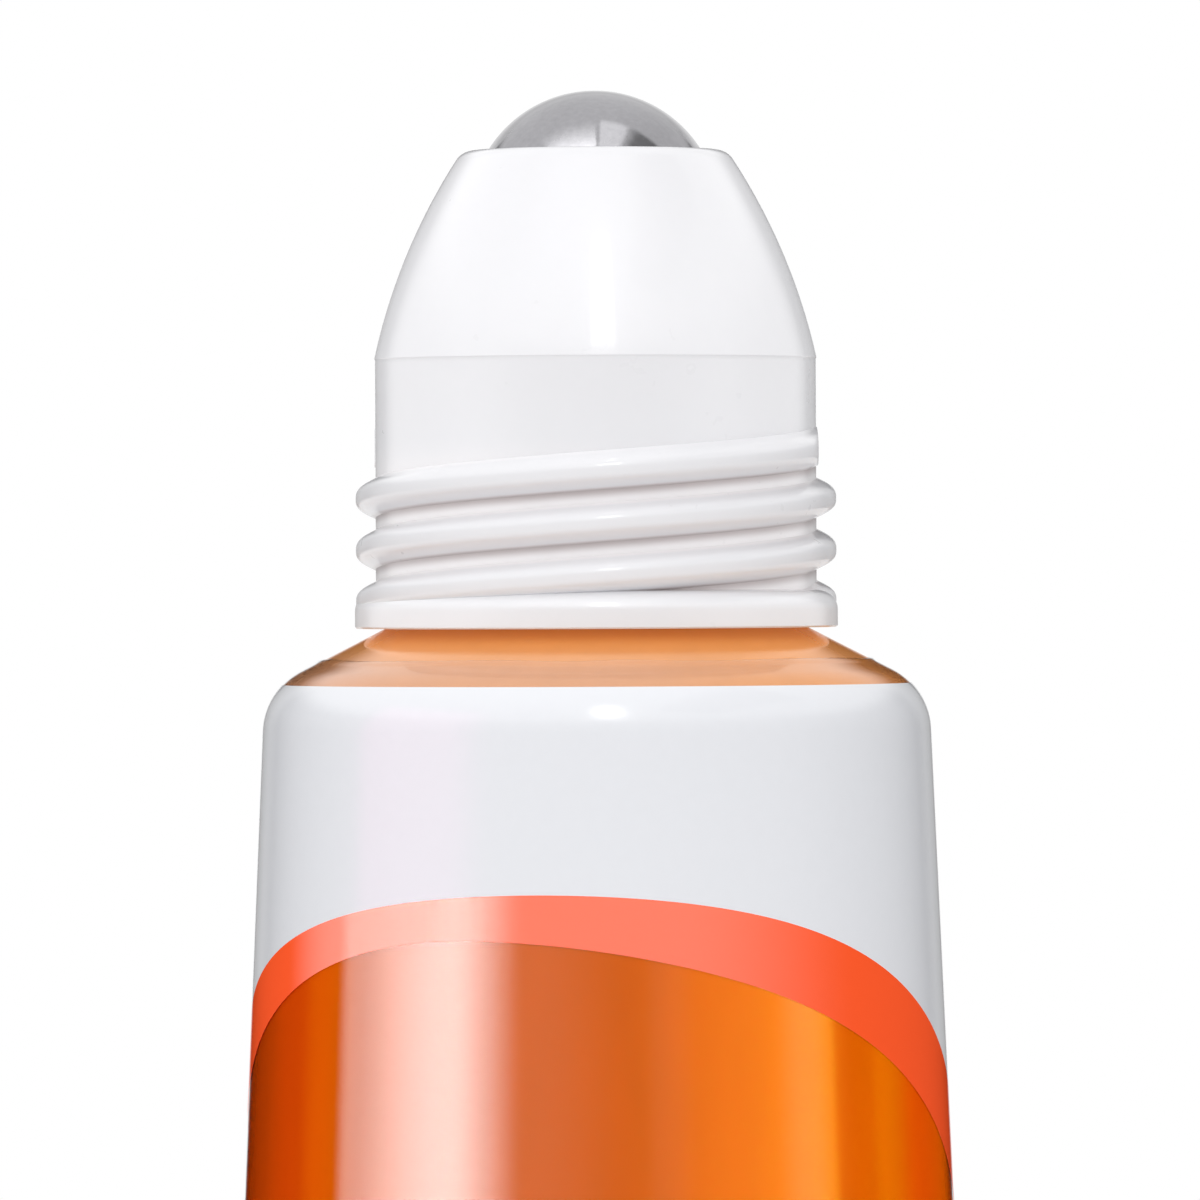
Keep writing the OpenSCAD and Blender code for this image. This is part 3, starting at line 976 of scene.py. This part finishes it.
def card(name, receivers, azimuths, elevations, radiance, fades, swell=(1.0, 0.0, 0.5),
         colour=(1.0, 1.0, 1.0), rise=(0.01, 0.1), flat=False):
    """Glowing card that only the gloss of its receivers shows, softened at its edges.

    Along it the glow swells from a share to full between two places, and it rises and
    falls off over the two shares of its height.
    """
    material, tree = new_material(name)
    tree.nodes.clear()
    u, v, _ = coordinates(tree, "UV")
    glow = u.ramp(0.0, fades[0]) * u.ramp(1.0, 1.0 - fades[1]) * radiance
    glow = glow * (swell[0] + u.ramp(swell[1], swell[2]) * (1.0 - swell[0]))
    glow = glow * v.ramp(0.0, rise[0]) * v.ramp(1.0, 1.0 - rise[1])
    shader = add_node(tree, "ShaderNodeEmission", (("Color", opaque(colour)),
                                                   ("Strength", glow)))
    clear = add_node(tree, "ShaderNodeBsdfTransparent")
    both = add_node(tree, "ShaderNodeAddShader", ((0, shader.outputs[0]),
                                                  (1, clear.outputs[0])))
    add_node(tree, "ShaderNodeOutputMaterial", ((0, both.outputs[0]),))
    patch = object_from(card_mesh(azimuths, elevations, flat), name, material)
    for kind in CARD_HIDDEN_FROM:
        setattr(patch, "visible_" + kind, False)
    linked = bpy.data.collections.new(name + " receivers")
    for piece in receivers:
        linked.objects.link(bpy.data.objects[piece])
    patch.light_linking.receiver_collection = linked


def floor_plane(stage):
    """Pale round floor that keeps the object's shadow and fades to the white backdrop."""
    material, tree = new_material("Pale floor")
    shader = tree.nodes["Principled BSDF"]
    shader.inputs["Roughness"].default_value = 0.8
    shader.inputs["Specular IOR Level"].default_value = 0.1
    shader.inputs["Base Color"].default_value = opaque(stage.floor)
    x, y, _ = coordinates(tree)
    away = (x * x + y * y).math("SQRT").ramp(30 * MM, 160 * MM)
    white = add_node(tree, "ShaderNodeEmission")
    mix = add_node(tree, "ShaderNodeMixShader", (
        (0, away * ray_is(tree, "Camera", "Glossy", "Transmission")),
        (1, shader.outputs[0]), (2, white.outputs[0])))
    tree.links.new(mix.outputs[0], tree.nodes["Material Output"].inputs["Surface"])
    bm = bmesh.new()
    bmesh.ops.create_circle(bm, cap_ends=True, radius=stage.floor_radius, segments=128)
    floor = object_from(bm, "floor", material)


def camera_view(stage):
    data = bpy.data.cameras.new("camera")
    data.lens = LENS_MM
    data.sensor_width = SENSOR_MM
    data.sensor_fit = "HORIZONTAL"
    camera = bpy.data.objects.new("camera", data)
    camera.location = (stage.camera_side, -stage.camera_distance, stage.camera_height)
    camera.rotation_euler = (math.pi / 2 - stage.camera_pitch, stage.camera_roll, 0.0)
    bpy.context.scene.collection.objects.link(camera)
    bpy.context.scene.camera = camera


# Operators

def join_frame(piece, body, slot, *nodes):
    """Lets a piece ride on its CAD body and stand for its CAD nodes."""
    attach(piece, body)
    if nodes:
        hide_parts(*nodes)


def named(group, *keys):
    """Values of a property group under the labels of a tree's inputs."""
    return {key.replace("_", " ").title(): getattr(group, key) for key in keys}


class RollOnAddBottle(bpy.types.Operator):
    """Add the tapered bottle with its shoulder, neck and pushed-up base"""

    bl_idname = "roll_on.add_bottle"
    bl_label = "Bottle"

    def execute(self, context):
        sizes = context.scene.roll_on_bottle
        body = lathe("bottle_body", bottle_outline(sizes), wall_material(sizes))
        join_frame(body, "container", "orange_bottle", "bottle")
        return {"FINISHED"}


class RollOnAddHead(bpy.types.Operator):
    """Add the moulded head with its nose, land, flange and ball socket"""

    bl_idname = "roll_on.add_head"
    bl_label = "Head"

    def execute(self, context):
        scene = context.scene
        material = head_material(scene.roll_on_head, scene.roll_on_thread)
        outline = head_outline(scene.roll_on_head, scene.roll_on_ball)
        head = lathe("head_shell", outline, material)
        join_frame(head, "container", "white_head", "roller_head")
        return {"FINISHED"}


class RollOnAddThread(bpy.types.Operator):
    """Add the closure thread that winds down the head's land"""

    bl_idname = "roll_on.add_thread"
    bl_label = "Closure thread"

    def execute(self, context):
        thread = context.scene.roll_on_thread
        sizes = {
            **named(thread, "starts", "lead", "run", "start", "reach", "foot_over",
                    "foot_under", "root", "cut", "fade_out"),
            **named(context.scene.roll_on_head, "land_radius"),
            "Start Height": SEAT + thread.start_height,
        }
        material = bpy.data.objects["head_shell"].data.materials[0]
        ridges = thread_tree(sizes).piece("closure_thread", sizes, material)
        join_frame(ridges, "container", "white_head")
        return {"FINISHED"}


class RollOnAddSleeve(bpy.types.Operator):
    """Add the clear sleeve and the white and coral fields printed on it"""

    bl_idname = "roll_on.add_sleeve"
    bl_label = "Sleeve and print"

    def execute(self, context):
        bottle = context.scene.roll_on_bottle
        sleeve = context.scene.roll_on_sleeve
        wall = BottleWall(bottle)
        corner_turn = wall.shoulder_turn - wall.lean
        around = {
            "Corner Radius": wall.corner_centre[0], "Corner Height": wall.corner_centre[1],
            "Corner Round": bottle.corner_round, "Side Lean": wall.lean,
            "Corner Turn": corner_turn,
        }
        tangent = bottle.corner_round * math.tan(corner_turn / 2)
        knee = wall.corner_centre[1] + bottle.corner_round * math.sin(wall.lean)
        film = {
            **around, **named(sleeve, "bead", "film_wave"),
            "Out": sleeve.gap + sleeve.film, "Thickness": sleeve.film,
            "Film Run": sleeve.film_in / math.cos(wall.slope) - tangent,
            "Film Drop": (knee - sleeve.film_foot) / math.cos(wall.lean),
        }
        edge = {
            **around, **named(sleeve, "white_swing", "white_pinch", "white_turn"),
            "Out": 2 * sleeve.gap + sleeve.film + sleeve.ink, "Thickness": sleeve.ink,
            "Bead": 0.0, "White Edge": bottle.body_height - sleeve.white_depth,
        }
        white = {**edge, **named(sleeve, "print_top")}
        coral = {**edge, **named(sleeve, "band_width", "band_swing", "band_wave",
                                 "band_turn", "wave_turn")}
        skins = (
            ("clear_sleeve", film, film_top, film_foot, 0.6, 40, film_material(),
             "clear_film", "sleeve_film"),
            ("white_field", white, print_top, edge_drop(white_edge), 0.6, 30,
             print_material("White print", sleeve.white, Coat_Weight=1.0,
                            Specular_IOR_Level=0.2), "white_ink", "white_print"),
            ("coral_field", coral, edge_drop(white_edge), edge_drop(coral_edge), 0.0, 4,
             print_material("Coral print", sleeve.coral, Coat_Weight=0.85, Coat_IOR=1.4,
                            Specular_IOR_Level=0.0), "coral_ink", "coral_print"),
        )
        for name, sizes, upper, lower, turn_share, rows, material, slot, node in skins:
            tree = skin_tree(name.replace("_", " ").capitalize(), sizes, upper, lower,
                             turn_share, rows)
            skin = tree.piece(name, sizes, material)
            if node != "sleeve_film":
                # Ink lies within microns of the wall, so its edge leaves no dark line there.
                skin.visible_glossy = False
                skin.visible_shadow = False
            join_frame(skin, "container", slot, node)
        return {"FINISHED"}


class RollOnAddBall(bpy.types.Operator):
    """Add the steel ball that turns in the mouth of the head"""

    bl_idname = "roll_on.add_ball"
    bl_label = "Ball"

    def execute(self, context):
        sizes = context.scene.roll_on_ball
        bm = bmesh.new()
        bmesh.ops.create_icosphere(bm, subdivisions=6, radius=sizes.radius)
        bmesh.ops.translate(bm, vec=(0.0, 0.0, sizes.centre), verts=bm.verts)
        ball = solid_from(bm, "steel_ball", steel_material(sizes))
        join_frame(ball, "ball", "polished_ball", "roller_ball")
        return {"FINISHED"}


class RollOnFinishInsert(bpy.types.Operator):
    """Give the CAD model's ball seat insert its finish"""

    bl_idname = "roll_on.finish_insert"
    bl_label = "Ball seat insert"

    def execute(self, context):
        insert = frame["nodes"]["ball_seat_insert"]
        insert.data.materials.clear()
        insert.data.materials.append(insert_material(context.scene.roll_on_ball))
        return {"FINISHED"}


class RollOnAddStage(bpy.types.Operator):
    """Add the floor, the studio light and the camera"""

    bl_idname = "roll_on.add_stage"
    bl_label = "Stage"

    def execute(self, context):
        scene = context.scene
        floor_plane(scene.roll_on_stage)
        studio_world()
        for receivers, cards in CARDS:
            for name, azimuths, elevations, radiance, fades, others in cards:
                card(name, receivers, azimuths, elevations, radiance, fades, **others)
        camera_view(scene.roll_on_stage)
        scene.view_settings.view_transform = "Standard"
        return {"FINISHED"}


OPERATORS = (RollOnAddBottle, RollOnAddHead, RollOnAddThread, RollOnAddSleeve, RollOnAddBall,
             RollOnFinishInsert, RollOnAddStage)


class RollOnPanel(bpy.types.Panel):
    """Lists the pieces of the roll-on bottle and their sizes"""

    bl_idname = "VIEW3D_PT_roll_on"
    bl_label = "Roll-on bottle"
    bl_space_type = "VIEW_3D"
    bl_region_type = "UI"
    bl_category = "Roll-on"

    def draw(self, context):
        for operator in OPERATORS:
            self.layout.operator(operator.bl_idname)
        for name, group in SETTINGS.items():
            box = self.layout.box()
            settings = getattr(context.scene, name)
            for key in group.__annotations__:
                box.prop(settings, key)


SETTINGS = {
    "roll_on_bottle": RollOnBottleSizes,
    "roll_on_head": RollOnHeadSizes,
    "roll_on_thread": RollOnThreadSizes,
    "roll_on_sleeve": RollOnSleeveSizes,
    "roll_on_ball": RollOnBallSizes,
    "roll_on_stage": RollOnStageSettings,
}


def register():
    for group in (*SETTINGS.values(), *OPERATORS, RollOnPanel):
        bpy.utils.register_class(group)
    for name, group in SETTINGS.items():
        setattr(bpy.types.Scene, name, bpy.props.PointerProperty(type=group))


def unregister():
    for name in SETTINGS:
        delattr(bpy.types.Scene, name)
    for group in (RollOnPanel, *reversed(OPERATORS), *reversed(SETTINGS.values())):
        bpy.utils.unregister_class(group)


def main():
    register()
    for operator in OPERATORS:
        group, name = operator.bl_idname.split(".")
        getattr(getattr(bpy.ops, group), name)()


if __name__ == "__main__":
    main()
